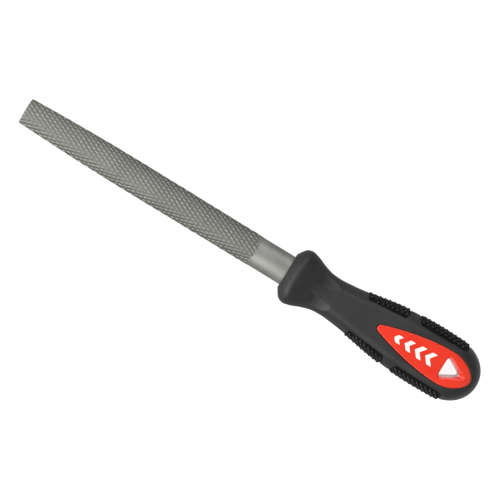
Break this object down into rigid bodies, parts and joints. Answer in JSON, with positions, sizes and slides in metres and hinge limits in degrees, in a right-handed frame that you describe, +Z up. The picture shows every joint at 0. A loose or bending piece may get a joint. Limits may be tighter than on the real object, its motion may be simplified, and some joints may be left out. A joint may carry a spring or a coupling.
{
  "type": "half-round hand file",
  "caption": "Half-round hand file for metal, with double-cut teeth and a moulded soft-grip handle that has studded pads and a hang hole.",
  "frame": {"origin": "under the middle of the whole file, on the plane that the flat underside of the handle rests on", "axes": "+X along the file from its tip to the butt of the handle, +Y across it, +Z up out of the rounded side of the blade"},
  "size_m": [0.258, 0.032, 0.024],
  "materials": {
    "hardened_steel": "sandblasted grey, satin",
    "red_plastic": "smooth hard plastic, half gloss",
    "grey_skin": "fine matt moulded skin",
    "black_rubber": "soft black, studded"
  },
  "bodies": {
    "root": {"file_blade": "hardened_steel", "handle_core": "red_plastic", "handle_shell": "grey_skin", "grip_pad_left_front": "black_rubber", "grip_pad_left_rear": "black_rubber", "grip_pad_right_front": "black_rubber", "grip_pad_right_rear": "black_rubber"}
  },
  "joints": []
}
